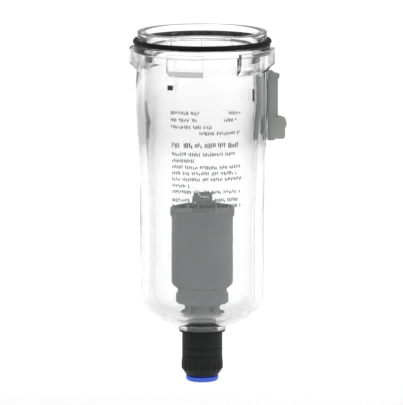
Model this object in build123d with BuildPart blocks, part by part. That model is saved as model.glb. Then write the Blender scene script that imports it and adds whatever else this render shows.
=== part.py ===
"""Bowl assembly of a compressed air filter, with a float-operated automatic drain.

Units are millimetres and degrees. The origin is the centre of the bowl's mouth, in the plane
of its rim. +Z points up into the filter head, so the whole assembly hangs below z = 0. The
lock that keeps the bowl in the head is on the +X side.
"""

from build123d import *
import os
from math import cos, radians, sin

os.makedirs("parts", exist_ok=True)

# ---------------------------------------------------------------- driving dimensions

# Levels shared by the bowl and its guard
FLANGE_BOTTOM = -10.0  # underside of the bowl flange, which stands on the guard
DOME_TOP = -128.5  # where the straight walls turn into the dished bottoms
FLOOR_SEAT = -141.6  # flat seat inside the bowl for the drain body
SEAT_RECESS_RADIUS = 10.9  # of that seat
CONTACT_GAP = 0.03  # between faces that rest on each other
BOSS_BOTTOM = -145.0  # end face of the bowl's drain boss
SKIRT_LEVEL = -98.0
WAIST_LEVEL = -58.0
SHOULDER_LEVEL = -33.0
NECK_LEVEL = -19.0

# Bowl
LIP_RADIUS = 31.2
LIP_HEIGHT = 3.4
GROOVE_RADIUS = 30.7
GROOVE_BOTTOM = -6.3
FLANGE_RADIUS = 32.9
MOUTH_RADIUS = 27.6
BOWL_RADIUS = 27.9  # outside, under the flange
BOWL_WAIST_RADIUS = 26.7
BOWL_BASE_RADIUS = 25.7  # outside, at the start of the dish
BOWL_WALL = 2.3
BOSS_RADIUS = 11.6
BOWL_DISH = 13.5  # depth of the outer dish
BOWL_INNER_DISH = 11.5
THROAT_BOTTOM = -14.0  # the bore widens from here up to the mouth
THROAT_TOP = -6.0
THROAT_TAPER = 0.4  # the mouth narrows by this between the rim and the throat
RIM_ROUND = 0.5
FLANGE_ROUND = 0.6
STEM_CLEARANCE = 0.05  # round the drain stem where it passes through the bowl

# O-ring that seals the bowl in the head
SEAL_SECTION = 1.3  # section radius
SEAL_GAP = 0.02  # between the ring and the floor of its groove
SEAL_RADIUS = GROOVE_RADIUS + SEAL_SECTION + SEAL_GAP
SEAL_LEVEL = -4.85

# Clear guard round the bowl
GUARD_NECK_RADIUS = 31.6
GUARD_SHOULDER_RADIUS = 32.1
GUARD_WAIST_RADIUS = 30.7
GUARD_SKIRT_RADIUS = 30.15
GUARD_BASE_RADIUS = 29.65
GUARD_INNER_RADIUS = 29.5
GUARD_WALL = 2.1
GUARD_DISH = 15.9
GUARD_INNER_DISH = 14.2
BOSS_HOLE_RADIUS = 11.9
GUARD_STRAIGHT_BOTTOM = -55.0  # the bore is straight above this

# Bayonet lugs, as angles from the front (-Y) towards +X
LUG_RADIUS = 35.0
LUG_ROUND = 0.6  # on the lugs' outer upright edges
LUG_TOP = -8.0
LUG_LIP_RADIUS = 33.15  # inner face of the lug's lip, outside the bowl flange
LUG_FACE_BOTTOM = -15.6
LUG_BOTTOM = -18.8
NARROW_LUG = (-29.8, 0.8)
WIDE_LUG = (31.6, 91.0)
LUG_POCKET = (49.5, 64.5)
POCKET_FLOOR_RADIUS = 33.0
POCKET_TOP = -9.9
POCKET_BOTTOM = -17.2

# Lock slider, its track and its window in the guard
TRACK_FLOOR = 31.1  # x of the flat floor
TRACK_HALF_WIDTH = 4.9
TRACK_TOP = -18.8
TRACK_BOTTOM = -55.0
RAIL_HEIGHT = 32.8  # x of the rails' outer faces
RAIL_WIDTH = 1.5
RAIL_SINK = 0.6  # the rails start this far outside the bore
SLIDER_INNER = 31.4
SLIDER_OUTER = 34.9
SLIDER_HALF_WIDTH = 4.6
SLIDER_TOP = -19.4
SLIDER_BOTTOM = -52.4
RIDGE_OUTER = 36.4  # x of the narrow ridge down the middle of the slider
RIDGE_HALF_WIDTH = 3.0
TAB_OUTER = 40.6
TAB_TOP = -41.6
TAB_MIDDLE = -46.6
TAB_BOTTOM = -51.7
WEB_HALF_WIDTH = 1.9
WEB_TOP = -26.0
WEB_BOTTOM = -35.0
LOCK_TRAVEL = 5.0
WINDOW_CLEARANCE = 0.35  # above and below the web
WINDOW_SIDE_CLEARANCE = 0.3
SPRING_POCKET_TOP = -37.0
SPRING_POCKET_BOTTOM = -51.35
SPRING_POCKET_DEPTH = 34.5
SPRING_POCKET_WIDTH = 4.2
GRIP_GROOVES = (-47.9, -49.1, -50.3)  # levels of the finger grooves in the tab
POST_TOP = -49.2
POST_BOTTOM = -51.0
POST_DEPTH = 4.4
POST_WIDTH = 3.2
BACKPLATE_INNER = 28.2
BACKPLATE_OUTER = 29.2
BACKPLATE_TOP = -23.2
BACKPLATE_BOTTOM = -49.2
BACKPLATE_HALF_WIDTH = 3.2

# Drain body, from its inlet collar down to the end of its stem
HOUSING_TOP = -86.0
HOUSING_TUBE_RADIUS = 4.9
HOUSING_SHOULDER = -104.0
HOUSING_RADIUS = 8.8
CYLINDER_RADIUS = 7.4
CYLINDER_TOP = -106.0
HOUSING_BOTTOM = -127.0
PILOT_BORE = 1.2
NECK_RADIUS = 11.9
NECK_TOP = -124.7
COLLAR_TOP = -127.6
COLLAR_RADIUS = 12.7
COLLAR_BOTTOM = -133.0
COLLAR_ROUND = 2.4
INLET_BOTTOM = -139.9
BODY_FLANGE_RADIUS = 10.7
GUIDE_BOTTOM = -129.5  # underside of the wall that guides the piston rod
SEAT_TOP = -137.0
SEAT_BOTTOM = -139.0
SEAT_RADIUS = 3.4
STEM_RADIUS = 7.6
STEM_BORE = 5.4
STEM_BOTTOM = -157.6
INLET_SLOTS = 6
INLET_SLOT_WIDTH = 3.0
INLET_SLOT_TOP = -133.3
INLET_SLOT_BOTTOM = -136.9

# Drain cap, pilot nozzle and lever on top of the housing
CAP_BASE_TOP = -84.9
CAP_LEFT = -4.8
CAP_RIGHT = 4.8
CAP_EAR_TOP = -79.2
SLOT_LEFT = -0.4  # of the slot under the roof, which hangs over the lever like a hook
SLOT_RIGHT = 3.3
SLOT_BOTTOM = -81.4
CHEEK_INNER = 2.3
CHEEK_OUTER = 3.7
PIVOT_X = -3.4
PIVOT_Z = -82.8
PIVOT_RADIUS = 0.6
PIVOT_CLEARANCE = 0.05
ROOF_BOTTOM = -80.0
ROOF_TOP = -78.9
NOZZLE_RADIUS = 2.0
NOZZLE_TOP = -84.8
NOZZLE_BOTTOM = -88.4
NOZZLE_BORE = 0.5
LEVER_TOP = -82.6
LEVER_BOTTOM = -84.0
LEVER_HALF_WIDTH = 1.8
LEVER_TIP = 6.5
FOOT_LENGTH = 1.3
FOOT_BOTTOM = -87.2
PAD_RADIUS = 1.5
PAD_BOTTOM = -84.72

# Float
FLOAT_RADIUS = 14.9
FLOAT_RIM_RADIUS = 15.6
FLOAT_TOP = -85.8
FLOAT_LID_FLOOR = -87.6
FLOAT_LID_UNDER = -88.8
FLOAT_RIM_BOTTOM = -89.4
FLOAT_WALL = 1.2
FLOAT_TAPER_TOP = -121.2
FLOAT_BOTTOM = -124.3
FLOAT_FOOT_RADIUS = 12.4
FLOAT_GUIDE_RADIUS = 5.3
FLOAT_BORE_RADIUS = 9.3
FLOAT_STEP = -103.4
RIM_NOTCHES = 24
RIM_NOTCH_WIDTH = 1.7
RIM_NOTCH_TOP = -86.6
RIM_NOTCH_BOTTOM = -88.4

# Piston, rod, valve and manual release pin
PISTON_TOP = -108.5
PISTON_BOTTOM = -113.0
PISTON_RADIUS = 7.2
PISTON_SEAL_SECTION = 0.8
PISTON_SEAL_LEVEL = -110.75
PISTON_SEAL_RADIUS = 6.55
PISTON_GROOVE_HALF = 0.95  # half the height of its groove
ROD_RADIUS = 2.2
ROD_GUIDE_RADIUS = 2.27
VALVE_TOP = -139.1
VALVE_BOTTOM = -140.9
VALVE_RADIUS = 4.6
ROD_BOTTOM = -151.6
CAM_PIN_LEVEL = -150.4
CAM_PIN_RADIUS = 0.9
CAM_PIN_REACH = 8.35
CAM_SLOT_CLEARANCE = 0.25  # above and below the pin
VALVE_TRAVEL = 3.0
SPRING_WIRE = 0.4  # wire radius of the piston spring
SPRING_COIL = 4.7
PISTON_SPRING_TURNS = 6
LOCK_SPRING_TURNS = 8
SPRING_END_GAP = 0.05  # between a spring and what it stands on
LOCK_WIRE = 0.25
LOCK_COIL = 1.25
LOCK_SPRING_X = 32.95

# Nut, gasket and small seals under and inside the bowl boss
GASKET_TOP = BOSS_BOTTOM - CONTACT_GAP
GASKET_BOTTOM = -145.4
NUT_FLANGE_BOTTOM = -146.1
NUT_FLANGE_RADIUS = 11.2
NUT_HUB_RADIUS = 8.5
NUT_BOTTOM = -148.5
NUT_NOTCHES = 6
NUT_NOTCH_WIDTH = 2.0
BODY_SEAL_LEVEL = -143.3
BODY_SEAL_SECTION = 0.75
KNOB_SEAL_LEVEL = -155.35
KNOB_SEAL_SECTION = 0.5
CLIP_TOP = -156.5
CLIP_BOTTOM = -157.2
CLIP_INNER = 6.9
CLIP_OUTER = 7.95
CLIP_GAP = 5.0

# Drain knob
KNOB_TOP = -146.4
KNOB_FLARE_START = -159.2
KNOB_FLARE_TOP = -162.0
KNOB_FLARE_BOTTOM = -164.3
KNOB_BOTTOM = -167.3
KNOB_RADIUS = 9.75
KNOB_FLARE_RADIUS = 10.05
KNOB_END_RADIUS = 8.0
KNOB_BORE = 7.68
NUT_CAVITY_RADIUS = 8.85
NUT_CAVITY_BOTTOM = -148.9
CLIP_CAVITY_RADIUS = 8.25
CLIP_CAVITY_TOP = -156.2
CLIP_CAVITY_BOTTOM = -158.6
TUBE_STOP_BOTTOM = -159.6
TUBE_STOP_RADIUS = 4.2
FITTING_BORE = 7.0
KNOB_GROOVES = (-154.0, -157.9)
KNOB_GROOVE_WIDTH = 0.5
KNOB_GROOVE_DEPTH = 0.3
FLUTE_TOP = -158.5
FLUTE_BOTTOM = -165.7
FLUTES = 20
FLUTE_RADIUS = 0.75
FLUTE_DEPTH = 0.45
CAM_DEPTH_RADIUS = 8.65
CAM_CLEARANCE = 0.3
CAM_STEPS = 9
CAM_ARC = 90.0
CAM_SIDE_ARC = 9.0

# Push-in tube fitting in the knob, for tube of 10 mm outside diameter
TUBE_PORT_RADIUS = 5.1
SEAL_BOTTOM = -161.9
COLLAR_RING_BOTTOM = -163.5
CHUCK_BOTTOM = -164.1
HOLDER_RADIUS = 6.95
HOLDER_BORE = 6.0
CHUCK_TEETH = 12
CHUCK_SLIT_WIDTH = 0.7
BUTTON_SLEEVE_RADIUS = 5.75
BUTTON_SLEEVE_TOP = -165.3
BUTTON_FLANGE_TOP = -168.3
BUTTON_BOTTOM = -170.6
BUTTON_RADIUS = 7.85
BUTTON_ROUND = 1.3


# ---------------------------------------------------------------- shared shapes


def radial_plane(angle):
    """Upright plane through the Z axis whose local X points outwards at an angle from +X."""
    across = (cos(radians(angle)), sin(radians(angle)), 0)
    normal = (sin(radians(angle)), -cos(radians(angle)), 0)
    return Plane(origin=(0, 0, 0), x_dir=across, z_dir=normal)


def from_front(angle):
    """Angle from +X for an angle measured from the front (-Y) towards +X."""
    return angle - 90


def save(builder, label):
    """Label a finished piece and write its STEP file."""
    builder.part.label = label
    export_step(builder.part, f"parts/{label}.step")


def make_o_ring(label, centre_radius, section, level):
    """A round ring about the Z axis."""
    with BuildPart() as ring:
        with BuildSketch(Plane.XZ):
            with Locations((centre_radius, level)):
                Circle(section)
        revolve(axis=Axis.Z)
    save(ring, label)
    return ring


def make_washer(label, inner, outer, bottom, top):
    """A flat ring about the Z axis."""
    with BuildPart() as washer:
        with BuildSketch(Plane.XY.offset(bottom)):
            Circle(outer)
            Circle(inner, mode=Mode.SUBTRACT)
        extrude(amount=top - bottom)
    save(washer, label)
    return washer


def make_spring(label, coil_radius, wire, turns, bottom, top, centre=(0, 0)):
    """A compression spring of round wire, standing along Z between two levels."""
    rise = top - bottom - 2 * wire
    start = bottom + wire
    with BuildPart() as spring:
        with BuildLine():
            Helix(rise / turns, rise, coil_radius, center=(centre[0], centre[1], start))
        with BuildSketch(Plane(origin=(centre[0] + coil_radius, centre[1], start), z_dir=(0, 1, 0))):
            Circle(wire)
        sweep(is_frenet=True)
    save(spring, label)
    return spring


def ring_segment(section, start, arc):
    """A closed section, given as (radius, z) points, turned about Z over an arc."""
    with BuildPart() as segment:
        with BuildSketch(radial_plane(start)):
            with BuildLine():
                Polyline(*section, close=True)
            make_face()
        revolve(axis=Axis.Z, revolution_arc=arc)
    return segment.part


def dished_face(dish, wall, mouth):
    """Half section of a dished vessel, closed on the axis: an elliptical dish, a smooth wall
    above it, and the straight steps of the mouth above."""
    radius = wall[0][0]
    with BuildSketch(Plane.XZ) as section:
        with BuildLine():
            EllipticalCenterArc((0, DOME_TOP), radius, dish, start_angle=270, arc_size=90)
            Spline(*wall)
            Polyline(wall[-1], *mouth, (0, mouth[-1][1]), (0, DOME_TOP - dish))
        make_face()
    return section


# ---------------------------------------------------------------- bowl

bowl_outer_wall = (
    (BOWL_BASE_RADIUS, DOME_TOP),
    (BOWL_WAIST_RADIUS, WAIST_LEVEL),
    (BOWL_RADIUS, SHOULDER_LEVEL),
)
bowl_outer_mouth = (
    (BOWL_RADIUS, FLANGE_BOTTOM),
    (FLANGE_RADIUS, FLANGE_BOTTOM),
    (FLANGE_RADIUS, GROOVE_BOTTOM),
    (GROOVE_RADIUS, GROOVE_BOTTOM),
    (GROOVE_RADIUS, -LIP_HEIGHT),
    (LIP_RADIUS, -LIP_HEIGHT),
    (LIP_RADIUS, 0),
)
bowl_inner_wall = (
    (BOWL_BASE_RADIUS - BOWL_WALL, DOME_TOP),
    (BOWL_WAIST_RADIUS - BOWL_WALL, WAIST_LEVEL),
    (BOWL_RADIUS - BOWL_WALL, SHOULDER_LEVEL),
)
bowl_inner_mouth = (
    (BOWL_RADIUS - BOWL_WALL, THROAT_BOTTOM),
    (MOUTH_RADIUS - THROAT_TAPER, THROAT_TOP),
    (MOUTH_RADIUS, 0),
)

with BuildPart() as bowl:
    add(dished_face(BOWL_DISH, bowl_outer_wall, bowl_outer_mouth).sketch)
    revolve(axis=Axis.Z)
    with BuildSketch(Plane.XY.offset(BOSS_BOTTOM)):
        Circle(BOSS_RADIUS)
    extrude(amount=DOME_TOP - BOSS_BOTTOM)
    add(dished_face(BOWL_INNER_DISH, bowl_inner_wall, bowl_inner_mouth).sketch)
    revolve(axis=Axis.Z, mode=Mode.SUBTRACT)
    with BuildSketch(Plane.XY.offset(FLOOR_SEAT)):
        Circle(SEAT_RECESS_RADIUS)
    extrude(amount=DOME_TOP - FLOOR_SEAT, mode=Mode.SUBTRACT)
    with BuildSketch(Plane.XY.offset(BOSS_BOTTOM)):
        Circle(STEM_RADIUS + STEM_CLEARANCE)
    extrude(amount=FLOOR_SEAT - BOSS_BOTTOM, mode=Mode.SUBTRACT)
    rim_edges = bowl.edges().filter_by(GeomType.CIRCLE).group_by(Axis.Z)[-1]
    fillet(rim_edges, RIM_ROUND)
    flange_edges = bowl.edges().filter_by(GeomType.CIRCLE).filter_by(
        lambda edge: abs(edge.radius - FLANGE_RADIUS) < 0.01
    )
    fillet(flange_edges, FLANGE_ROUND)
save(bowl, "bowl")

bowl_o_ring = make_o_ring("bowl_o_ring", SEAL_RADIUS, SEAL_SECTION, SEAL_LEVEL)


# ---------------------------------------------------------------- guard

guard_top = FLANGE_BOTTOM - CONTACT_GAP
guard_outer_wall = (
    (GUARD_BASE_RADIUS, DOME_TOP),
    (GUARD_SKIRT_RADIUS, SKIRT_LEVEL),
    (GUARD_WAIST_RADIUS, WAIST_LEVEL),
    (GUARD_SHOULDER_RADIUS, SHOULDER_LEVEL),
    (GUARD_NECK_RADIUS, NECK_LEVEL),
)
guard_outer_mouth = ((GUARD_NECK_RADIUS, guard_top),)
guard_inner_wall = (
    (GUARD_BASE_RADIUS - GUARD_WALL, DOME_TOP),
    (GUARD_INNER_RADIUS, GUARD_STRAIGHT_BOTTOM),
)
guard_inner_mouth = ((GUARD_INNER_RADIUS, guard_top),)
lug_section = (
    (GUARD_NECK_RADIUS - 1, guard_top),
    (LUG_LIP_RADIUS, guard_top),
    (LUG_LIP_RADIUS, LUG_TOP),
    (LUG_RADIUS, LUG_TOP),
    (LUG_RADIUS, LUG_FACE_BOTTOM),
    (GUARD_NECK_RADIUS, LUG_BOTTOM),
    (GUARD_NECK_RADIUS - 1, LUG_BOTTOM),
)
pocket_section = (
    (POCKET_FLOOR_RADIUS, POCKET_TOP),
    (LUG_RADIUS + 1, POCKET_TOP),
    (LUG_RADIUS + 1, POCKET_BOTTOM),
    (POCKET_FLOOR_RADIUS, POCKET_BOTTOM),
)
lugs = []
lug_pockets = []
for half_turn in (0, 180):
    for lug_start, lug_end in (NARROW_LUG, WIDE_LUG):
        lug_angle = from_front(lug_start) + half_turn
        lugs.append(ring_segment(lug_section, lug_angle, lug_end - lug_start))
    pocket_angle = from_front(LUG_POCKET[0]) + half_turn
    lug_pockets.append(ring_segment(pocket_section, pocket_angle, LUG_POCKET[1] - LUG_POCKET[0]))

track_middle = (TRACK_TOP + TRACK_BOTTOM) / 2
track_height = TRACK_TOP - TRACK_BOTTOM
window_top = WEB_TOP + WINDOW_CLEARANCE
window_bottom = WEB_BOTTOM - LOCK_TRAVEL - WINDOW_CLEARANCE
rail_depth = RAIL_HEIGHT - GUARD_INNER_RADIUS - RAIL_SINK

with BuildPart() as bowl_guard:
    add(dished_face(GUARD_DISH, guard_outer_wall, guard_outer_mouth).sketch)
    revolve(axis=Axis.Z)
    add(lugs)
    face_height = LUG_TOP - LUG_FACE_BOTTOM
    lug_edges = bowl_guard.edges().filter_by(Axis.Z).filter_by(
        lambda edge: abs(edge.length - face_height) < 0.01
        and edge.center().X ** 2 + edge.center().Y ** 2 > (LUG_RADIUS - 0.1) ** 2
    )
    fillet(lug_edges, LUG_ROUND)
    add(lug_pockets, mode=Mode.SUBTRACT)
    with Locations((TRACK_FLOOR + 2, 0, track_middle)):
        Box(4, 2 * TRACK_HALF_WIDTH, track_height, mode=Mode.SUBTRACT)
    rail_y = TRACK_HALF_WIDTH + RAIL_WIDTH / 2
    with Locations((RAIL_HEIGHT - rail_depth / 2, rail_y, track_middle),
                   (RAIL_HEIGHT - rail_depth / 2, -rail_y, track_middle)):
        Box(rail_depth, RAIL_WIDTH, track_height)
    with Locations((TRACK_FLOOR + 1, 0, (POST_TOP + POST_BOTTOM) / 2)):
        Box(POST_DEPTH, POST_WIDTH, POST_TOP - POST_BOTTOM)
    add(dished_face(GUARD_INNER_DISH, guard_inner_wall, guard_inner_mouth).sketch)
    revolve(axis=Axis.Z, mode=Mode.SUBTRACT)
    with BuildSketch(Plane.XY.offset(BOSS_BOTTOM)):
        Circle(BOSS_HOLE_RADIUS)
    extrude(amount=DOME_TOP - BOSS_BOTTOM, mode=Mode.SUBTRACT)
    with Locations((TRACK_FLOOR, 0, (window_top + window_bottom) / 2)):
        Box(8, 2 * (WEB_HALF_WIDTH + WINDOW_SIDE_CLEARANCE), window_top - window_bottom, mode=Mode.SUBTRACT)
save(bowl_guard, "bowl_guard")


# ---------------------------------------------------------------- lock

with BuildPart() as lock_slider:
    with BuildSketch(Plane.XZ):
        with BuildLine():
            Polyline(
                (SLIDER_INNER, SLIDER_BOTTOM),
                (SLIDER_INNER, SLIDER_TOP),
                (SLIDER_OUTER - 1.4, SLIDER_TOP),
                (SLIDER_OUTER, SLIDER_TOP - 1.2),
                (SLIDER_OUTER, SLIDER_BOTTOM),
                close=True,
            )
        make_face()
    extrude(amount=SLIDER_HALF_WIDTH, both=True)
    with BuildSketch(Plane.XZ):
        with BuildLine():
            Spline(
                (SLIDER_OUTER - 0.5, TAB_TOP + 0.4),
                (RIDGE_OUTER + 1.2, TAB_TOP),
                (TAB_OUTER - 0.6, TAB_TOP - 1.2),
                (TAB_OUTER, TAB_TOP - 3.2),
                (TAB_OUTER - 1.1, TAB_MIDDLE),
            )
            Polyline(
                (TAB_OUTER - 1.1, TAB_MIDDLE),
                (TAB_OUTER - 0.7, TAB_MIDDLE - 0.5),
                (TAB_OUTER - 0.7, TAB_BOTTOM + 1.0),
                (TAB_OUTER - 1.7, TAB_BOTTOM),
                (SLIDER_OUTER - 0.5, TAB_BOTTOM),
                (SLIDER_OUTER - 0.5, TAB_TOP + 0.4),
            )
        make_face()
    extrude(amount=SLIDER_HALF_WIDTH, both=True)
    with BuildSketch(Plane.XZ):
        with BuildLine():
            Polyline(
                (SLIDER_OUTER - 0.5, TAB_TOP - 1),
                (SLIDER_OUTER - 0.5, SLIDER_TOP - 0.9),
                (RIDGE_OUTER + 0.7, SLIDER_TOP - 1.4),
                (RIDGE_OUTER + 0.7, SLIDER_TOP - 2.6),
                (RIDGE_OUTER, SLIDER_TOP - 3.6),
                (RIDGE_OUTER, TAB_TOP - 1),
                close=True,
            )
        make_face()
    extrude(amount=RIDGE_HALF_WIDTH, both=True)
    with Locations(*[(TAB_OUTER - 0.7, 0, level) for level in GRIP_GROOVES]):
        Box(0.8, 2 * SLIDER_HALF_WIDTH, 0.6, mode=Mode.SUBTRACT)
    pocket_depth = SPRING_POCKET_DEPTH - SLIDER_INNER
    with Locations((SLIDER_INNER + pocket_depth / 2, 0,
                    (SPRING_POCKET_TOP + SPRING_POCKET_BOTTOM) / 2)):
        Box(pocket_depth, SPRING_POCKET_WIDTH, SPRING_POCKET_TOP - SPRING_POCKET_BOTTOM,
            mode=Mode.SUBTRACT)
    web_inner = BACKPLATE_OUTER - 0.4
    with Locations(((web_inner + SLIDER_INNER) / 2, 0, (WEB_TOP + WEB_BOTTOM) / 2)):
        Box(SLIDER_INNER - web_inner, 2 * WEB_HALF_WIDTH, WEB_TOP - WEB_BOTTOM)
save(lock_slider, "lock_slider")

with BuildPart() as lock_backplate:
    with BuildSketch(Plane.XY.offset(BACKPLATE_BOTTOM)):
        Circle(BACKPLATE_OUTER)
        Circle(BACKPLATE_INNER, mode=Mode.SUBTRACT)
        with Locations((BACKPLATE_OUTER, 0)):
            Rectangle(20, 2 * BACKPLATE_HALF_WIDTH, mode=Mode.INTERSECT)
    extrude(amount=BACKPLATE_TOP - BACKPLATE_BOTTOM)
    with Locations((web_inner + 1, 0, (WEB_TOP + WEB_BOTTOM) / 2)):
        Box(2, 2 * WEB_HALF_WIDTH, WEB_TOP - WEB_BOTTOM, mode=Mode.SUBTRACT)
save(lock_backplate, "lock_backplate")

lock_spring = make_spring(
    "lock_spring", LOCK_COIL, LOCK_WIRE, LOCK_SPRING_TURNS,
    POST_TOP + SPRING_END_GAP, SPRING_POCKET_TOP - SPRING_END_GAP, (LOCK_SPRING_X, 0),
)


# ---------------------------------------------------------------- drain housing and body

with BuildPart() as drain_housing:
    with BuildSketch(Plane.XZ):
        with BuildLine():
            Polyline(
                (PILOT_BORE, HOUSING_TOP),
                (HOUSING_TUBE_RADIUS, HOUSING_TOP),
                (HOUSING_TUBE_RADIUS, HOUSING_SHOULDER),
                (HOUSING_RADIUS, HOUSING_SHOULDER),
                (HOUSING_RADIUS, HOUSING_BOTTOM),
                (CYLINDER_RADIUS, HOUSING_BOTTOM),
                (CYLINDER_RADIUS, CYLINDER_TOP),
                (PILOT_BORE, CYLINDER_TOP),
                close=True,
            )
        make_face()
    revolve(axis=Axis.Z)
    with BuildSketch(Plane.XY.offset(NOZZLE_BOTTOM)):
        Circle(NOZZLE_RADIUS)
    extrude(amount=HOUSING_TOP - NOZZLE_BOTTOM, mode=Mode.SUBTRACT)
save(drain_housing, "drain_housing")

with BuildPart() as drain_body:
    with BuildSketch(Plane.XZ):
        with BuildLine():
            Polyline(
                (HOUSING_RADIUS, HOUSING_BOTTOM),
                (HOUSING_RADIUS, NECK_TOP),
                (NECK_RADIUS, NECK_TOP),
                (NECK_RADIUS, COLLAR_TOP),
                (COLLAR_RADIUS, COLLAR_TOP),
                (COLLAR_RADIUS, COLLAR_BOTTOM),
                (HOUSING_RADIUS, COLLAR_BOTTOM),
                (HOUSING_RADIUS, INLET_BOTTOM),
                (BODY_FLANGE_RADIUS, INLET_BOTTOM),
                (BODY_FLANGE_RADIUS, FLOOR_SEAT + CONTACT_GAP),
                (STEM_RADIUS, FLOOR_SEAT + CONTACT_GAP),
                (STEM_RADIUS, STEM_BOTTOM),
                (STEM_BORE, STEM_BOTTOM),
                (STEM_BORE, SEAT_BOTTOM),
                (SEAT_RADIUS, SEAT_BOTTOM),
                (SEAT_RADIUS, SEAT_TOP),
                (CYLINDER_RADIUS, SEAT_TOP),
                (CYLINDER_RADIUS, GUIDE_BOTTOM),
                (ROD_GUIDE_RADIUS, GUIDE_BOTTOM),
                (ROD_GUIDE_RADIUS, HOUSING_BOTTOM),
                close=True,
            )
        make_face()
    revolve(axis=Axis.Z)
    collar_edge = drain_body.edges().filter_by(GeomType.CIRCLE).filter_by(
        lambda edge: abs(edge.radius - COLLAR_RADIUS) < 0.01
    ).sort_by(Axis.Z)[0]
    fillet(collar_edge, COLLAR_ROUND)
    with PolarLocations(HOUSING_RADIUS, INLET_SLOTS):
        with Locations((0, 0, (INLET_SLOT_TOP + INLET_SLOT_BOTTOM) / 2)):
            Box(4, INLET_SLOT_WIDTH, INLET_SLOT_TOP - INLET_SLOT_BOTTOM, mode=Mode.SUBTRACT)
    cam_slot_top = CAM_PIN_LEVEL + CAM_PIN_RADIUS + CAM_SLOT_CLEARANCE
    cam_slot_bottom = CAM_PIN_LEVEL - VALVE_TRAVEL - CAM_PIN_RADIUS - CAM_SLOT_CLEARANCE
    with Locations((0, 0, (cam_slot_top + cam_slot_bottom) / 2)):
        Box(2 * STEM_RADIUS + 1, 2 * CAM_PIN_RADIUS + 0.3, cam_slot_top - cam_slot_bottom,
            mode=Mode.SUBTRACT)
    ring_grooves = (
        (BODY_SEAL_LEVEL, BODY_SEAL_SECTION + 0.15, STEM_RADIUS - 2 * BODY_SEAL_SECTION + 0.02),
        (KNOB_SEAL_LEVEL, KNOB_SEAL_SECTION + 0.1, STEM_RADIUS - 2 * KNOB_SEAL_SECTION + 0.03),
        ((CLIP_TOP + CLIP_BOTTOM) / 2, (CLIP_TOP - CLIP_BOTTOM) / 2, CLIP_INNER),
    )
    for level, half_height, floor_radius in ring_grooves:
        with BuildSketch(Plane.XY.offset(level - half_height)):
            Circle(STEM_RADIUS + 0.5)
            Circle(floor_radius, mode=Mode.SUBTRACT)
        extrude(amount=2 * half_height, mode=Mode.SUBTRACT)
save(drain_body, "drain_body")

body_o_ring = make_o_ring(
    "body_o_ring", STEM_RADIUS + 0.04 - BODY_SEAL_SECTION, BODY_SEAL_SECTION, BODY_SEAL_LEVEL
)
knob_o_ring = make_o_ring(
    "knob_o_ring", STEM_RADIUS + 0.03 - KNOB_SEAL_SECTION, KNOB_SEAL_SECTION, KNOB_SEAL_LEVEL
)
drain_gasket = make_washer(
    "drain_gasket", STEM_RADIUS, NUT_FLANGE_RADIUS - 0.2, GASKET_BOTTOM, GASKET_TOP
)


# ---------------------------------------------------------------- cap, nozzle, lever

with BuildPart() as drain_cap:
    with BuildSketch(Plane.XY.offset(HOUSING_TOP)):
        Circle(HOUSING_TUBE_RADIUS)
    extrude(amount=CAP_BASE_TOP - HOUSING_TOP)
    with BuildSketch(Plane.XZ):
        with BuildLine():
            Polyline(
                (CAP_LEFT + 1.0, CAP_BASE_TOP - 0.4),
                (CAP_RIGHT, CAP_BASE_TOP - 0.4),
                (CAP_RIGHT, ROOF_TOP - 0.6),
                (CAP_RIGHT - 0.6, ROOF_TOP),
                (SLOT_LEFT - 1.1, ROOF_TOP),
                (SLOT_LEFT - 0.3, ROOF_BOTTOM),
                (SLOT_RIGHT, ROOF_BOTTOM),
                (SLOT_RIGHT, SLOT_BOTTOM),
                (SLOT_LEFT - 0.3, SLOT_BOTTOM),
                (CAP_LEFT + 2.2, CAP_EAR_TOP),
                (CAP_LEFT + 1.4, CAP_EAR_TOP),
                (CAP_LEFT, PIVOT_Z + 1.6),
                (CAP_LEFT, PIVOT_Z - 1.2),
                close=True,
            )
        make_face()
        with Locations((PIVOT_X, PIVOT_Z)):
            Circle(PIVOT_RADIUS, mode=Mode.SUBTRACT)
    extrude(amount=CHEEK_OUTER, both=True)
    with Locations((0, 0, (ROOF_BOTTOM + CAP_BASE_TOP) / 2)):
        Box(18, 2 * CHEEK_INNER, ROOF_BOTTOM - CAP_BASE_TOP, mode=Mode.SUBTRACT)
    ear_width = SLOT_LEFT - CAP_LEFT - 0.7
    with Locations((CAP_LEFT + ear_width / 2 - 0.5, 0, ROOF_TOP)):
        Box(ear_width, 2 * CHEEK_INNER, 4, mode=Mode.SUBTRACT)
    with BuildSketch(Plane.XY.offset(HOUSING_TOP)):
        Circle(NOZZLE_RADIUS)
    extrude(amount=CAP_BASE_TOP - HOUSING_TOP, mode=Mode.SUBTRACT)
save(drain_cap, "drain_cap")

with BuildPart() as lever_pin:
    with BuildSketch(Plane.XZ):
        with Locations((PIVOT_X, PIVOT_Z)):
            Circle(PIVOT_RADIUS)
    extrude(amount=CHEEK_OUTER, both=True)
save(lever_pin, "lever_pin")

with BuildPart() as pilot_nozzle:
    with BuildSketch(Plane.XZ):
        with BuildLine():
            Polyline(
                (NOZZLE_BORE, NOZZLE_BOTTOM),
                (NOZZLE_RADIUS, NOZZLE_BOTTOM),
                (NOZZLE_RADIUS, CAP_BASE_TOP - 0.5),
                (NOZZLE_BORE + 0.6, NOZZLE_TOP),
                (NOZZLE_BORE, NOZZLE_TOP),
                close=True,
            )
        make_face()
    revolve(axis=Axis.Z)
save(pilot_nozzle, "pilot_nozzle")

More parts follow.
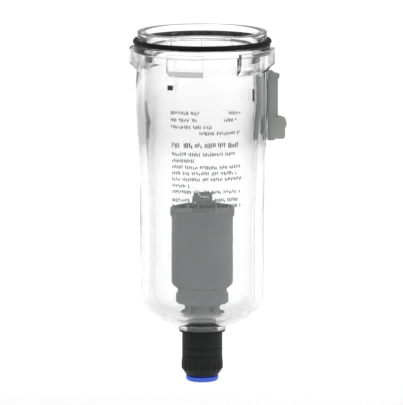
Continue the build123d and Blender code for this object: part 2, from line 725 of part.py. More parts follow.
with BuildPart() as pilot_lever:
    with BuildSketch(Plane.XZ):
        with BuildLine():
            Polyline(
                (PIVOT_X, LEVER_BOTTOM),
                (LEVER_TIP - FOOT_LENGTH, LEVER_BOTTOM),
                (LEVER_TIP - FOOT_LENGTH, FOOT_BOTTOM),
                (LEVER_TIP, FOOT_BOTTOM),
                (LEVER_TIP, LEVER_TOP),
                (PIVOT_X, LEVER_TOP),
                close=True,
            )
        make_face()
        with Locations((PIVOT_X, PIVOT_Z)):
            Circle(1.4)
            Circle(PIVOT_RADIUS + PIVOT_CLEARANCE, mode=Mode.SUBTRACT)
    extrude(amount=LEVER_HALF_WIDTH, both=True)
save(pilot_lever, "pilot_lever")

with BuildPart() as pilot_seal:
    with BuildSketch(Plane.XY.offset(PAD_BOTTOM)):
        Circle(PAD_RADIUS)
    extrude(amount=LEVER_BOTTOM - PAD_BOTTOM)
save(pilot_seal, "pilot_seal")


# ---------------------------------------------------------------- float

with BuildPart() as float_shell:
    with BuildSketch(Plane.XZ):
        with BuildLine():
            Polyline(
                (FLOAT_RADIUS, FLOAT_LID_UNDER),
                (FLOAT_RADIUS, FLOAT_TAPER_TOP),
            )
            ThreePointArc(
                (FLOAT_RADIUS, FLOAT_TAPER_TOP),
                (FLOAT_RADIUS - 0.75, FLOAT_TAPER_TOP - 1.95),
                (FLOAT_FOOT_RADIUS, FLOAT_BOTTOM),
            )
            Polyline(
                (FLOAT_FOOT_RADIUS, FLOAT_BOTTOM),
                (FLOAT_BORE_RADIUS, FLOAT_BOTTOM),
                (FLOAT_BORE_RADIUS, FLOAT_STEP),
                (FLOAT_GUIDE_RADIUS, FLOAT_STEP),
                (FLOAT_GUIDE_RADIUS, FLOAT_LID_UNDER),
                (FLOAT_GUIDE_RADIUS + FLOAT_WALL, FLOAT_LID_UNDER),
                (FLOAT_GUIDE_RADIUS + FLOAT_WALL, FLOAT_STEP + FLOAT_WALL),
                (FLOAT_BORE_RADIUS + FLOAT_WALL, FLOAT_STEP + FLOAT_WALL),
                (FLOAT_BORE_RADIUS + FLOAT_WALL, FLOAT_BOTTOM + FLOAT_WALL),
                (FLOAT_FOOT_RADIUS - 0.4, FLOAT_BOTTOM + FLOAT_WALL),
                (FLOAT_RADIUS - FLOAT_WALL, FLOAT_TAPER_TOP),
                (FLOAT_RADIUS - FLOAT_WALL, FLOAT_LID_UNDER),
                (FLOAT_RADIUS, FLOAT_LID_UNDER),
            )
        make_face()
    revolve(axis=Axis.Z)
save(float_shell, "float_shell")

with BuildPart() as float_lid:
    with BuildSketch(Plane.XZ):
        with BuildLine():
            Polyline(
                (FLOAT_GUIDE_RADIUS, FLOAT_LID_UNDER),
                (FLOAT_RADIUS, FLOAT_LID_UNDER),
                (FLOAT_RADIUS, FLOAT_RIM_BOTTOM),
                (FLOAT_RIM_RADIUS, FLOAT_RIM_BOTTOM),
                (FLOAT_RIM_RADIUS, FLOAT_TOP),
                (FLOAT_RIM_RADIUS - 1.0, FLOAT_TOP),
                (FLOAT_RIM_RADIUS - 1.0, FLOAT_LID_FLOOR),
                (FLOAT_GUIDE_RADIUS, FLOAT_LID_FLOOR),
                close=True,
            )
        make_face()
    revolve(axis=Axis.Z)
    notch_level = (RIM_NOTCH_TOP + RIM_NOTCH_BOTTOM) / 2
    with PolarLocations(FLOAT_RIM_RADIUS, RIM_NOTCHES):
        with Locations((0, 0, notch_level)):
            Box(0.8, RIM_NOTCH_WIDTH, RIM_NOTCH_TOP - RIM_NOTCH_BOTTOM, mode=Mode.SUBTRACT)
save(float_lid, "float_lid")


# ---------------------------------------------------------------- piston and valve

with BuildPart() as piston:
    with BuildSketch(Plane.XZ):
        with BuildLine():
            Polyline(
                (0, PISTON_TOP),
                (PISTON_RADIUS, PISTON_TOP),
                (PISTON_RADIUS, PISTON_SEAL_LEVEL + PISTON_GROOVE_HALF),
                (PISTON_SEAL_RADIUS - PISTON_SEAL_SECTION, PISTON_SEAL_LEVEL + PISTON_GROOVE_HALF),
                (PISTON_SEAL_RADIUS - PISTON_SEAL_SECTION, PISTON_SEAL_LEVEL - PISTON_GROOVE_HALF),
                (PISTON_RADIUS, PISTON_SEAL_LEVEL - PISTON_GROOVE_HALF),
                (PISTON_RADIUS, PISTON_BOTTOM),
                (ROD_RADIUS, PISTON_BOTTOM),
                (ROD_RADIUS, ROD_BOTTOM),
                (0, ROD_BOTTOM),
                close=True,
            )
        make_face()
    revolve(axis=Axis.Z)
    with BuildSketch(Plane.YZ):
        with Locations((0, CAM_PIN_LEVEL)):
            Circle(CAM_PIN_RADIUS)
    extrude(amount=2 * ROD_RADIUS, both=True, mode=Mode.SUBTRACT)
save(piston, "piston")

piston_seal = make_o_ring(
    "piston_seal", PISTON_SEAL_RADIUS, PISTON_SEAL_SECTION, PISTON_SEAL_LEVEL
)
valve_seal = make_washer("valve_seal", ROD_RADIUS, VALVE_RADIUS, VALVE_BOTTOM, VALVE_TOP)

with BuildPart() as cam_pin:
    with BuildSketch(Plane.YZ):
        with Locations((0, CAM_PIN_LEVEL)):
            Circle(CAM_PIN_RADIUS)
    extrude(amount=CAM_PIN_REACH, both=True)
save(cam_pin, "cam_pin")

piston_spring = make_spring(
    "piston_spring", SPRING_COIL, SPRING_WIRE, PISTON_SPRING_TURNS,
    HOUSING_BOTTOM + SPRING_END_GAP, PISTON_BOTTOM - SPRING_END_GAP,
)


# ---------------------------------------------------------------- nut, clip and knob

with BuildPart() as drain_nut:
    with BuildSketch(Plane.XY.offset(NUT_BOTTOM)):
        Circle(NUT_HUB_RADIUS)
    extrude(amount=GASKET_BOTTOM - NUT_BOTTOM)
    with BuildSketch(Plane.XY.offset(NUT_FLANGE_BOTTOM)):
        Circle(NUT_FLANGE_RADIUS)
    extrude(amount=GASKET_BOTTOM - NUT_FLANGE_BOTTOM)
    with BuildSketch(Plane.XY.offset(NUT_BOTTOM)):
        Circle(STEM_RADIUS)
    extrude(amount=GASKET_BOTTOM - NUT_BOTTOM, mode=Mode.SUBTRACT)
    with PolarLocations(NUT_FLANGE_RADIUS, NUT_NOTCHES):
        with Locations((0, 0, NUT_FLANGE_BOTTOM)):
            Box(1.4, NUT_NOTCH_WIDTH, GASKET_BOTTOM - NUT_FLANGE_BOTTOM, mode=Mode.SUBTRACT)
save(drain_nut, "drain_nut")

with BuildPart() as knob_clip:
    with BuildSketch(Plane.XY.offset(CLIP_BOTTOM)):
        Circle(CLIP_OUTER)
        Circle(CLIP_INNER, mode=Mode.SUBTRACT)
        with Locations((-CLIP_OUTER, 0)):
            Rectangle(2 * (CLIP_OUTER - CLIP_INNER) + 2, CLIP_GAP, mode=Mode.SUBTRACT)
    extrude(amount=CLIP_TOP - CLIP_BOTTOM)
save(knob_clip, "knob_clip")


# Stepped recesses in the knob's bore, whose upper edges push the ends of the pin down
cam_floor = CAM_PIN_LEVEL - VALVE_TRAVEL - CAM_PIN_RADIUS - CAM_CLEARANCE
cam_ceiling = CAM_PIN_LEVEL + CAM_PIN_RADIUS + CAM_CLEARANCE
cam_recesses = []
for pin_end in (0, 180):
    for step in range(CAM_STEPS + 1):
        step_ceiling = cam_ceiling - VALVE_TRAVEL * step / CAM_STEPS
        recess_section = (
            (KNOB_BORE - 0.5, cam_floor),
            (CAM_DEPTH_RADIUS, cam_floor),
            (CAM_DEPTH_RADIUS, step_ceiling),
            (KNOB_BORE - 0.5, step_ceiling),
        )
        step_angle = pin_end - CAM_ARC * step / CAM_STEPS - CAM_SIDE_ARC
        cam_recesses.append(ring_segment(recess_section, step_angle, 2 * CAM_SIDE_ARC))

with BuildPart() as drain_knob:
    with BuildSketch(Plane.XZ):
        with BuildLine():
            Polyline(
                (NUT_CAVITY_RADIUS, KNOB_TOP),
                (KNOB_RADIUS, KNOB_TOP),
                (KNOB_RADIUS, KNOB_FLARE_START),
                (KNOB_FLARE_RADIUS, KNOB_FLARE_TOP),
                (KNOB_FLARE_RADIUS, KNOB_FLARE_BOTTOM),
                (KNOB_END_RADIUS, KNOB_BOTTOM),
                (FITTING_BORE, KNOB_BOTTOM),
                (FITTING_BORE, TUBE_STOP_BOTTOM),
                (TUBE_STOP_RADIUS, TUBE_STOP_BOTTOM),
                (TUBE_STOP_RADIUS, CLIP_CAVITY_BOTTOM),
                (CLIP_CAVITY_RADIUS, CLIP_CAVITY_BOTTOM),
                (CLIP_CAVITY_RADIUS, CLIP_CAVITY_TOP),
                (KNOB_BORE, CLIP_CAVITY_TOP),
                (KNOB_BORE, NUT_CAVITY_BOTTOM),
                (NUT_CAVITY_RADIUS, NUT_CAVITY_BOTTOM),
                close=True,
            )
        make_face()
    revolve(axis=Axis.Z)
    for level in KNOB_GROOVES:
        with BuildSketch(Plane.XY.offset(level - KNOB_GROOVE_WIDTH / 2)):
            Circle(KNOB_RADIUS + 1)
            Circle(KNOB_RADIUS - KNOB_GROOVE_DEPTH, mode=Mode.SUBTRACT)
        extrude(amount=KNOB_GROOVE_WIDTH, mode=Mode.SUBTRACT)
    with BuildSketch(Plane.XY.offset(FLUTE_BOTTOM)):
        with PolarLocations(KNOB_FLARE_RADIUS + FLUTE_RADIUS - FLUTE_DEPTH, FLUTES):
            Circle(FLUTE_RADIUS)
    extrude(amount=FLUTE_TOP - FLUTE_BOTTOM, mode=Mode.SUBTRACT)
    add(cam_recesses, mode=Mode.SUBTRACT)
save(drain_knob, "drain_knob")


# ---------------------------------------------------------------- push-in fitting

fitting_seal = make_washer(
    "fitting_seal", TUBE_PORT_RADIUS, HOLDER_RADIUS, SEAL_BOTTOM, TUBE_STOP_BOTTOM - 0.05
)
fitting_guide = make_washer(
    "fitting_guide", TUBE_PORT_RADIUS + 0.15, HOLDER_RADIUS, COLLAR_RING_BOTTOM, SEAL_BOTTOM
)

with BuildPart() as fitting_chuck:
    with BuildSketch(Plane.XY.offset(CHUCK_BOTTOM)):
        Circle(HOLDER_RADIUS)
        Circle(TUBE_PORT_RADIUS, mode=Mode.SUBTRACT)
        with PolarLocations(TUBE_PORT_RADIUS + 0.4, CHUCK_TEETH):
            Rectangle(1.4, CHUCK_SLIT_WIDTH, mode=Mode.SUBTRACT)
    extrude(amount=COLLAR_RING_BOTTOM - CHUCK_BOTTOM)
save(fitting_chuck, "fitting_chuck")

fitting_collet = make_washer(
    "fitting_collet", HOLDER_BORE, FITTING_BORE, KNOB_BOTTOM + 0.2, CHUCK_BOTTOM
)

with BuildPart() as release_button:
    with BuildSketch(Plane.XY.offset(BUTTON_BOTTOM)):
        Circle(BUTTON_SLEEVE_RADIUS)
    extrude(amount=BUTTON_SLEEVE_TOP - BUTTON_BOTTOM)
    with BuildSketch(Plane.XY.offset(BUTTON_BOTTOM)):
        Circle(BUTTON_RADIUS)
    extrude(amount=BUTTON_FLANGE_TOP - BUTTON_BOTTOM)
    bottom_edge = release_button.edges().filter_by(GeomType.CIRCLE).group_by(Axis.Z)[0]
    fillet(bottom_edge, BUTTON_ROUND)
    with BuildSketch(Plane.XY.offset(BUTTON_BOTTOM)):
        Circle(TUBE_PORT_RADIUS)
    extrude(amount=BUTTON_SLEEVE_TOP - BUTTON_BOTTOM, mode=Mode.SUBTRACT)
save(release_button, "release_button")
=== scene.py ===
"""Looks for the filter bowl assembly: materials, printed marks, springs, light and camera.

Units are metres, in the same frame as the CAD: origin at the centre of the bowl's mouth,
+Z up, the lock slider on the +X side and the printed front on the -Y side.
"""

import math
import random

import bmesh
import bpy
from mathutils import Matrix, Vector


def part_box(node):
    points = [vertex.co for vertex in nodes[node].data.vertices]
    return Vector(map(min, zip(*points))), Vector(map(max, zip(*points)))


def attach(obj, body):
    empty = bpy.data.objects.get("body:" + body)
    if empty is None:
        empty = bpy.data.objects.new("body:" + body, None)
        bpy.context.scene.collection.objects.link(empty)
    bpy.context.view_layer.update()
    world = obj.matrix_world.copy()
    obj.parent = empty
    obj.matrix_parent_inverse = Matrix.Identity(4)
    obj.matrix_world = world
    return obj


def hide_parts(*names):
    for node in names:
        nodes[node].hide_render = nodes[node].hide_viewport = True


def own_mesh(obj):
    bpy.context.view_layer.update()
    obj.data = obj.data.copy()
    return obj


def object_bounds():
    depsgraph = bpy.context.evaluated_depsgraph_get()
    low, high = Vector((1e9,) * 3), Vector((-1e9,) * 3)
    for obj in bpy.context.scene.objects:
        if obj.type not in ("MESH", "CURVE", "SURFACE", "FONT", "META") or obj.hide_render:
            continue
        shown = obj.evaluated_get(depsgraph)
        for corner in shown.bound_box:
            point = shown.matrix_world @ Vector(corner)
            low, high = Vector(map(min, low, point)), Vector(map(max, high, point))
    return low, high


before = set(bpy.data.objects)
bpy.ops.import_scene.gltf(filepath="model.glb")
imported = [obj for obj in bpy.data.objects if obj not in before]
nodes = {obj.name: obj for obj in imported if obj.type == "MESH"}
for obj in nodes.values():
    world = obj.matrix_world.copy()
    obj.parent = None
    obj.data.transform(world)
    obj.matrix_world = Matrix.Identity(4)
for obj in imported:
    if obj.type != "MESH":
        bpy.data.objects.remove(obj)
CAD_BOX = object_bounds()

MM = 0.001
ROOT = "bowl_assembly"
POLYCARBONATE_IOR = 1.52
DRIFT_STOPS = (0.35, 0.65)


# ---------------------------------------------------------------- material tools


def new_material(name):
    """A node material with its Principled shader."""
    material = bpy.data.materials.new(name)
    material.use_nodes = True
    return material, material.node_tree, material.node_tree.nodes["Principled BSDF"]


def object_noise(tree, scale, detail, stretch=(1, 1, 1)):
    """Noise laid over the object's own coordinates."""
    place = tree.nodes.new("ShaderNodeTexCoord")
    mapping = tree.nodes.new("ShaderNodeMapping")
    mapping.inputs["Scale"].default_value = stretch
    noise = tree.nodes.new("ShaderNodeTexNoise")
    noise.inputs["Scale"].default_value = scale
    noise.inputs["Detail"].default_value = detail
    tree.links.new(place.outputs["Object"], mapping.inputs["Vector"])
    tree.links.new(mapping.outputs["Vector"], noise.inputs["Vector"])
    return noise


def set_ramp(ramp, positions, colours):
    """Place a colour ramp's two stops and colour them."""
    for stop, position, colour in zip(ramp.color_ramp.elements, positions, colours):
        stop.position = position
        stop.color = (*colour, 1)


def add_bump(tree, shader, source, strength, distance):
    """Bump from a noise node."""
    bump = tree.nodes.new("ShaderNodeBump")
    bump.inputs["Strength"].default_value = strength
    bump.inputs["Distance"].default_value = distance
    tree.links.new(source.outputs["Fac"], bump.inputs["Height"])
    tree.links.new(bump.outputs["Normal"], shader.inputs["Normal"])


def vary_colour(tree, shader, source, low, high):
    """Base colour that drifts between two tones with a noise node."""
    ramp = tree.nodes.new("ShaderNodeValToRGB")
    set_ramp(ramp, DRIFT_STOPS, (low, high))
    tree.links.new(source.outputs["Fac"], ramp.inputs["Fac"])
    tree.links.new(ramp.outputs["Color"], shader.inputs["Base Color"])


def vary_roughness(tree, shader, source, low, high):
    """Roughness that drifts between two values with a noise node."""
    spread = tree.nodes.new("ShaderNodeMapRange")
    spread.inputs["To Min"].default_value = low
    spread.inputs["To Max"].default_value = high
    tree.links.new(source.outputs["Fac"], spread.inputs["Value"])
    tree.links.new(spread.outputs["Result"], shader.inputs["Roughness"])


def moulded_plastic(name, colour, roughness, specular=0.5, grain=900, grain_depth=0.00003):
    """Opaque injection-moulded plastic: fine spark-eroded grain and slight colour drift."""
    material, tree, shader = new_material(name)
    drift = object_noise(tree, 60, 3)
    fine = object_noise(tree, grain, 2)
    dark = tuple(0.9 * c for c in colour)
    light = tuple(1.1 * c for c in colour)
    vary_colour(tree, shader, drift, dark, light)
    vary_roughness(tree, shader, drift, roughness - 0.05, roughness + 0.07)
    add_bump(tree, shader, fine, 0.35, grain_depth)
    shader.inputs["Specular IOR Level"].default_value = specular
    return material


def clear_plastic(name, tint, density, wave_scale, wave_depth):
    """Polished clear polycarbonate: faint waviness of a moulding, and a tint that grows with
    the depth of plastic, so that its edges look greyer than its faces."""
    material, tree, shader = new_material(name)
    shader.inputs["Base Color"].default_value = (1, 1, 1, 1)
    shader.inputs["Transmission Weight"].default_value = 1.0
    shader.inputs["IOR"].default_value = POLYCARBONATE_IOR
    wave = object_noise(tree, wave_scale, 2, (1, 1, 0.45))
    vary_roughness(tree, shader, wave, 0.0, 0.02)
    add_bump(tree, shader, wave, 0.25, wave_depth)
    absorb = tree.nodes.new("ShaderNodeVolumeAbsorption")
    absorb.inputs["Color"].default_value = (*tint, 1)
    absorb.inputs["Density"].default_value = density
    output = tree.nodes["Material Output"]
    tree.links.new(absorb.outputs["Volume"], output.inputs["Volume"])
    return material


def rubber(name, colour, roughness, specular):
    """Black nitrile rubber with a faint bloom."""
    material, tree, shader = new_material(name)
    bloom = object_noise(tree, 140, 4)
    fine = object_noise(tree, 1400, 2)
    vary_colour(tree, shader, bloom, colour, tuple(1.5 * c for c in colour))
    vary_roughness(tree, shader, bloom, roughness, roughness + 0.12)
    add_bump(tree, shader, fine, 0.25, 0.00002)
    shader.inputs["Specular IOR Level"].default_value = specular
    return material


def bare_metal(name, colour, roughness, stretch):
    """Drawn or turned metal with fine marks along one direction."""
    material, tree, shader = new_material(name)
    marks = object_noise(tree, 700, 3, stretch)
    shader.inputs["Metallic"].default_value = 1.0
    vary_colour(tree, shader, marks, tuple(0.85 * c for c in colour), colour)
    vary_roughness(tree, shader, marks, roughness - 0.08, roughness + 0.1)
    add_bump(tree, shader, marks, 0.2, 0.00001)
    return material


def screen_ink(name, colour):
    """Thin printed ink, a little uneven."""
    material, tree, shader = new_material(name)
    patchy = object_noise(tree, 900, 3)
    vary_colour(tree, shader, patchy, colour, tuple(1.8 * c for c in colour))
    vary_roughness(tree, shader, patchy, 0.55, 0.75)
    return material


# ---------------------------------------------------------------- materials

CLEAR_BOWL = clear_plastic("clear_bowl", (0.86, 0.875, 0.87), 12, 55, 0.00004)
CLEAR_GUARD = clear_plastic("clear_guard", (0.86, 0.87, 0.87), 12, 45, 0.00005)
O_RING_BLACK = rubber("o_ring_black", (0.002, 0.002, 0.0021), 0.45, 0.12)
SEAL_BLACK = rubber("seal_black", (0.01, 0.01, 0.01), 0.5, 0.4)
LOCK_GREY = moulded_plastic("lock_grey", (0.29, 0.31, 0.297), 0.45)
FLOAT_GREY = moulded_plastic("float_grey", (0.16, 0.173, 0.177), 0.5)
DRAIN_GREY = moulded_plastic("drain_grey", (0.178, 0.192, 0.197), 0.5)
KNOB_BLACK = moulded_plastic("knob_black", (0.0085, 0.0092, 0.0094), 0.5, 0.22)
RING_BLUE = moulded_plastic("ring_blue", (0.048, 0.125, 0.67), 0.4, 0.35)
STEEL = bare_metal("steel", (0.62, 0.62, 0.6), 0.3, (1, 1, 6))
BRASS = bare_metal("brass", (0.72, 0.5, 0.2), 0.3, (1, 1, 8))
INK = screen_ink("ink_grey", (0.05, 0.052, 0.052))
INK_BLACK = screen_ink("ink_black", (0.015, 0.015, 0.016))

NODE_MATERIALS = {
    "bowl": CLEAR_BOWL,
    "bowl_guard": CLEAR_GUARD,
    "bowl_o_ring": O_RING_BLACK,
    "lock_slider": LOCK_GREY,
    "lock_backplate": LOCK_GREY,
    "lock_spring": STEEL,
    "drain_housing": DRAIN_GREY,
    "drain_body": DRAIN_GREY,
    "drain_cap": DRAIN_GREY,
    "body_o_ring": SEAL_BLACK,
    "knob_o_ring": SEAL_BLACK,
    "drain_gasket": SEAL_BLACK,
    "lever_pin": STEEL,
    "pilot_nozzle": BRASS,
    "pilot_lever": DRAIN_GREY,
    "pilot_seal": SEAL_BLACK,
    "float_shell": FLOAT_GREY,
    "float_lid": FLOAT_GREY,
    "piston": KNOB_BLACK,
    "piston_seal": SEAL_BLACK,
    "valve_seal": SEAL_BLACK,
    "cam_pin": STEEL,
    "piston_spring": STEEL,
    "drain_nut": KNOB_BLACK,
    "knob_clip": STEEL,
    "drain_knob": KNOB_BLACK,
    "fitting_seal": SEAL_BLACK,
    "fitting_guide": KNOB_BLACK,
    "fitting_chuck": STEEL,
    "fitting_collet": KNOB_BLACK,
    "release_button": RING_BLUE,
}

for node_name, material in NODE_MATERIALS.items():
    node = nodes[node_name]
    node.data.materials.clear()
    node.data.materials.append(material)


# ---------------------------------------------------------------- printed marks on the guard

INK_SINK = 0.03 * MM
INK_HEIGHT = 0.03 * MM
STROKE_WIDTH = 0.45 * MM
STROKE_GAP = 0.36 * MM
WORD_GAP = 0.95 * MM
HEADING_STROKE = 0.5 * MM
PRINT_SEED = 11
LETTERS_IN_WORD = (4, 13)
LETTER_HEIGHTS = (0.55, 1.0)
LETTER_GAPS = (0.7, 1.5)
STRIP_WIDTH = 0.5
STRIP_FILL = 0.98
RAY_START = 0.06

# Print is set out in mm of level and height, and in degrees from the front towards +X
NOTE_HEIGHT = 1.8
NOTE_LEFT = -27.5

# Rows of the note: level and spans
NOTE_ROWS = (
    (-35.7, ((NOTE_LEFT, -3.0), (23.5, 35.0))),
    (-39.1, ((NOTE_LEFT, -5.0), (19.5, 31.0))),
    (-42.4, ((NOTE_LEFT, 8.0),)),
    (-45.5, ((-2.0, 35.0),)),
    (-55.6, ((NOTE_LEFT, 31.0),)),
    (-58.7, ((NOTE_LEFT, -8.0),)),
    (-61.9, ((NOTE_LEFT, 36.0),)),
    (-64.8, ((NOTE_LEFT, 33.0),)),
    (-67.7, ((NOTE_LEFT, 38.0),)),
    (-70.9, ((NOTE_LEFT, -11.0),)),
    (-73.8, ((NOTE_LEFT, 37.0),)),
    (-77.8, ((NOTE_LEFT, -12.0), (12.0, 34.0))),
    (-80.7, ((NOTE_LEFT, 37.0),)),
)

# Other rows: level, height and spans
HEADING_ROW = (-51.3, 2.6, ((-16.0, 20.0), (24.0, 33.0)))
HEADING_MARK = (-51.3, 2.7, ((NOTE_LEFT, -20.5),))

# Plain marks: level, height, angle and width in mm
INDEX_SQUARE = (-23.9, 2.3, -28.5, 3.0)
INDEX_DASH = (-28.4, 6.0, 49.5, 1.4)


def point_on_guard(angle, level):
    """Where a level line at an angle from the front meets the outside of the guard."""
    outward = Vector((math.sin(angle), -math.cos(angle), 0))
    start = Vector((0, 0, level)) + RAY_START * outward
    place = nodes["bowl_guard"].ray_cast(start, -outward)[1]
    return place, outward


def guard_radius(angle, level):
    """Radius of the guard's outside at an angle and a level."""
    place = point_on_guard(angle, level)[0]
    return math.hypot(place.x, place.y)


def add_stroke(shape, angle, level, width, height):
    """One small closed block of ink that follows the guard's wall."""
    corners = []
    for side, rise in ((-1, -1), (1, -1), (1, 1), (-1, 1)):
        place, outward = point_on_guard(angle, level + rise * height / 2)
        across = Vector((-outward.y, outward.x, 0))
        corners.append((place + side * width / 2 * across, outward))
    inner = [shape.verts.new(place - INK_SINK * outward) for place, outward in corners]
    outer = [shape.verts.new(place + INK_HEIGHT * outward) for place, outward in corners]
    shape.faces.new(outer)
    shape.faces.new(reversed(inner))
    for first in range(4):
        second = (first + 1) % 4
        shape.faces.new((inner[first], inner[second], outer[second], outer[first]))


def finish_mesh(shape, name, material):
    """Turn a finished bmesh into a piece that rides on the bowl."""
    bmesh.ops.recalc_face_normals(shape, faces=shape.faces)
    mesh = bpy.data.meshes.new(name)
    shape.to_mesh(mesh)
    shape.free()
    mesh.materials.append(material)
    piece = bpy.data.objects.new(name, mesh)
    bpy.context.scene.collection.objects.link(piece)
    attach(piece, ROOT)
    return piece


def print_row(name, row, ink, draw, stroke=STROKE_WIDTH):
    """A row of meaningless strokes in word-like groups."""
    level, height, spans = row
    radius = guard_radius(0, level * MM)
    shape = bmesh.new()
    for start, end in spans:
        travelled = math.radians(start) * radius
        limit = math.radians(end) * radius
        while travelled < limit:
            for _ in range(draw.randint(*LETTERS_IN_WORD)):
                if travelled > limit:
                    break
                tall = height * MM * draw.uniform(*LETTER_HEIGHTS)
                lift = (height * MM - tall) * draw.choice((-0.5, 0, 0.5))
                add_stroke(shape, travelled / radius, level * MM + lift, stroke, tall)
                travelled += stroke + STROKE_GAP * draw.uniform(*LETTER_GAPS)
            travelled += WORD_GAP
    finish_mesh(shape, name, ink)


def print_block(name, mark, ink):
    """A plain solid mark, made of narrow upright strips so that it follows the wall."""
    level, height, angle, width = mark
    strips = round(width / STRIP_WIDTH)
    step = width / strips * MM
    radius = guard_radius(math.radians(angle), level * MM)
    shape = bmesh.new()
    for strip in range(strips):
        offset = (strip - (strips - 1) / 2) * step / radius
        turn = math.radians(angle) + offset
        add_stroke(shape, turn, level * MM, STRIP_FILL * step, height * MM)
    finish_mesh(shape, name, ink)


def make_print():
    """The note on the front, greeked, and the two index marks near the lugs."""
    draw = random.Random(PRINT_SEED)
    for number, (level, spans) in enumerate(NOTE_ROWS):
        print_row(f"print_note_{number:02d}", (level, NOTE_HEIGHT, spans), INK, draw)
    print_row("print_heading", HEADING_ROW, INK_BLACK, draw, HEADING_STROKE)
    print_row("print_heading_mark", HEADING_MARK, INK, draw)
    print_block("print_index_square", INDEX_SQUARE, INK_BLACK)
    print_block("print_index_dash", INDEX_DASH, INK_BLACK)


# ---------------------------------------------------------------- springs

STEPS_PER_TURN = 24
WIRE_FACETS = 4
LOCK_SPRING_WIRE = 0.25 * MM
LOCK_SPRING_TURNS = 9
PISTON_SPRING_WIRE = 0.4 * MM
PISTON_SPRING_TURNS = 8


def share_of_rise(turn, turns, end_turn):
    """How far up the spring the wire is after a number of turns, its end turns closed."""
    if turn < 1:
        return end_turn * turn
    if turn > turns - 1:
        return 1 - end_turn * (turns - turn)
    return end_turn + (1 - 2 * end_turn) * (turn - 1) / (turns - 2)


def make_spring(name, node_name, turns, wire_radius):
    """A wound wire spring with closed ends, sized to its part's box, which stands in for the
    hidden part.
    """
    low, high = (Vector(corner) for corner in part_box(node_name))
    centre = (low + high) / 2
    coil_radius = (high.y - low.y) / 2 - wire_radius
    bottom = low.z + wire_radius
    rise = high.z - low.z - 2 * wire_radius
    end_turn = 2 * wire_radius / rise
    curve = bpy.data.curves.new(name, "CURVE")
    curve.dimensions = "3D"
    curve.bevel_depth = wire_radius
    curve.bevel_resolution = WIRE_FACETS
    curve.use_fill_caps = True
    line = curve.splines.new("POLY")
    line.points.add(turns * STEPS_PER_TURN)
    for number, point in enumerate(line.points):
        turn = number / STEPS_PER_TURN
        angle = 2 * math.pi * turn
        share = share_of_rise(turn, turns, end_turn)
        x = centre.x + coil_radius * math.cos(angle)
        y = centre.y + coil_radius * math.sin(angle)
        point.co = (x, y, bottom + rise * share, 1)
    wire = bpy.data.objects.new(name + "_line", curve)
    bpy.context.scene.collection.objects.link(wire)
    bpy.context.view_layer.update()
    seen = wire.evaluated_get(bpy.context.evaluated_depsgraph_get())
    mesh = bpy.data.meshes.new_from_object(seen)
    bpy.data.objects.remove(wire)
    mesh.materials.clear()
    mesh.materials.append(STEEL)
    for polygon in mesh.polygons:
        polygon.use_smooth = True
    piece = bpy.data.objects.new(name, mesh)
    bpy.context.scene.collection.objects.link(piece)
    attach(piece, ROOT)
    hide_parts(node_name)
    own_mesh(piece)


# ---------------------------------------------------------------- stage, light and camera

FLOOR_DROP = 0.06
FLOOR_SIZE = 30
FLOOR_WHITE = 0.92
FLOOR_ROUGHNESS = 0.9


def make_floor():
    """A wide pale floor, well below the hanging bowl."""
    low = CAD_BOX[0][2]
    bpy.ops.mesh.primitive_plane_add(size=FLOOR_SIZE, location=(0, 0, low - FLOOR_DROP))
    floor = bpy.context.object
    floor.name = "floor"
    material, tree, shader = new_material("floor_white")
    shader.inputs["Base Color"].default_value = (*[FLOOR_WHITE] * 3, 1)
    shader.inputs["Roughness"].default_value = FLOOR_ROUGHNESS
    floor.data.materials.append(material)


HORIZON_GREY = 0.46
ZENITH_GREY = 0.62
SKY_STOPS = (0.0, 0.6)


def make_world():
    """Grey studio, a little brighter overhead, so that clear edges read dark."""
    world = bpy.data.worlds.new("studio")
    bpy.context.scene.world = world
    world.use_nodes = True
    tree = world.node_tree
    background = tree.nodes["Background"]
    place = tree.nodes.new("ShaderNodeTexCoord")
    split = tree.nodes.new("ShaderNodeSeparateXYZ")
    ramp = tree.nodes.new("ShaderNodeValToRGB")
    set_ramp(ramp, SKY_STOPS, ([HORIZON_GREY] * 3, [ZENITH_GREY] * 3))
    tree.links.new(place.outputs["Generated"], split.inputs["Vector"])
    tree.links.new(split.outputs["Z"], ramp.inputs["Fac"])
    tree.links.new(ramp.outputs["Color"], background.inputs["Color"])


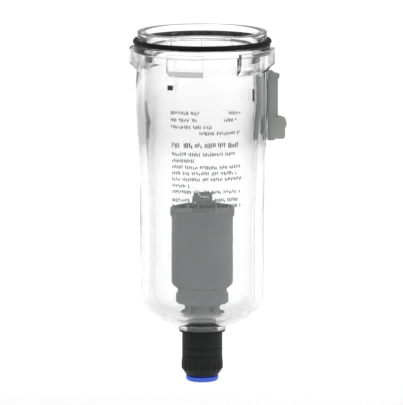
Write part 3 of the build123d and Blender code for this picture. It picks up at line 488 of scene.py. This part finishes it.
def make_area_light(name, place, aim, size, power, spread=math.pi):
    """A soft box at a place, facing a point."""
    light = bpy.data.lights.new(name, "AREA")
    light.shape = "RECTANGLE"
    light.size, light.size_y = size
    light.energy = power
    light.spread = spread
    holder = bpy.data.objects.new(name, light)
    holder.location = place
    direction = Vector(aim) - Vector(place)
    holder.rotation_euler = direction.to_track_quat("-Z", "Y").to_euler()
    bpy.context.scene.collection.objects.link(holder)


CAMERA_DISTANCE = 2.2
CAMERA_ELEVATION = math.radians(9)
CAMERA_LENS = 405
CAMERA_SENSOR = 36
AIM = Vector((-0.00035, 0, -0.0834))


def make_camera():
    """Telephoto view of the front, slightly from above."""
    data = bpy.data.cameras.new("camera")
    data.lens = CAMERA_LENS
    data.sensor_width = CAMERA_SENSOR
    camera = bpy.data.objects.new("camera", data)
    back = Vector((0, -math.cos(CAMERA_ELEVATION), math.sin(CAMERA_ELEVATION)))
    camera.location = AIM + CAMERA_DISTANCE * back
    camera.rotation_euler = (-back).to_track_quat("-Z", "Y").to_euler()
    bpy.context.scene.collection.objects.link(camera)
    bpy.context.scene.camera = camera


KEY_PLACE = (-1.0, -1.0, 1.1)
FILL_PLACE = (1.3, -0.6, 0.7)
SOFT_BOX_SIZE = (0.9, 0.9)
SOFT_BOX_POWER = 11

# A narrow beam straight down on the floor behind the object, which whitens the background
BACKDROP_PLACE = (0, 1.88, 1.6)
BACKDROP_AIM = (0, 1.88, 0)
BACKDROP_SIZE = (1.2, 3.05)
BACKDROP_POWER = 6.1
BACKDROP_SPREAD = math.radians(40)


def make_lights():
    """Two soft boxes in front and a beam on the floor behind."""
    make_area_light("key", KEY_PLACE, AIM, SOFT_BOX_SIZE, SOFT_BOX_POWER)
    make_area_light("fill", FILL_PLACE, AIM, SOFT_BOX_SIZE, SOFT_BOX_POWER)
    make_area_light(
        "backdrop", BACKDROP_PLACE, BACKDROP_AIM, BACKDROP_SIZE, BACKDROP_POWER, BACKDROP_SPREAD
    )


make_print()
make_spring(
    "lock_spring_wire",
    "lock_spring",
    LOCK_SPRING_TURNS,
    LOCK_SPRING_WIRE,
)
make_spring(
    "piston_spring_wire",
    "piston_spring",
    PISTON_SPRING_TURNS,
    PISTON_SPRING_WIRE,
)
make_floor()
make_world()
make_lights()
make_camera()
bpy.context.scene.view_settings.view_transform = "Standard"
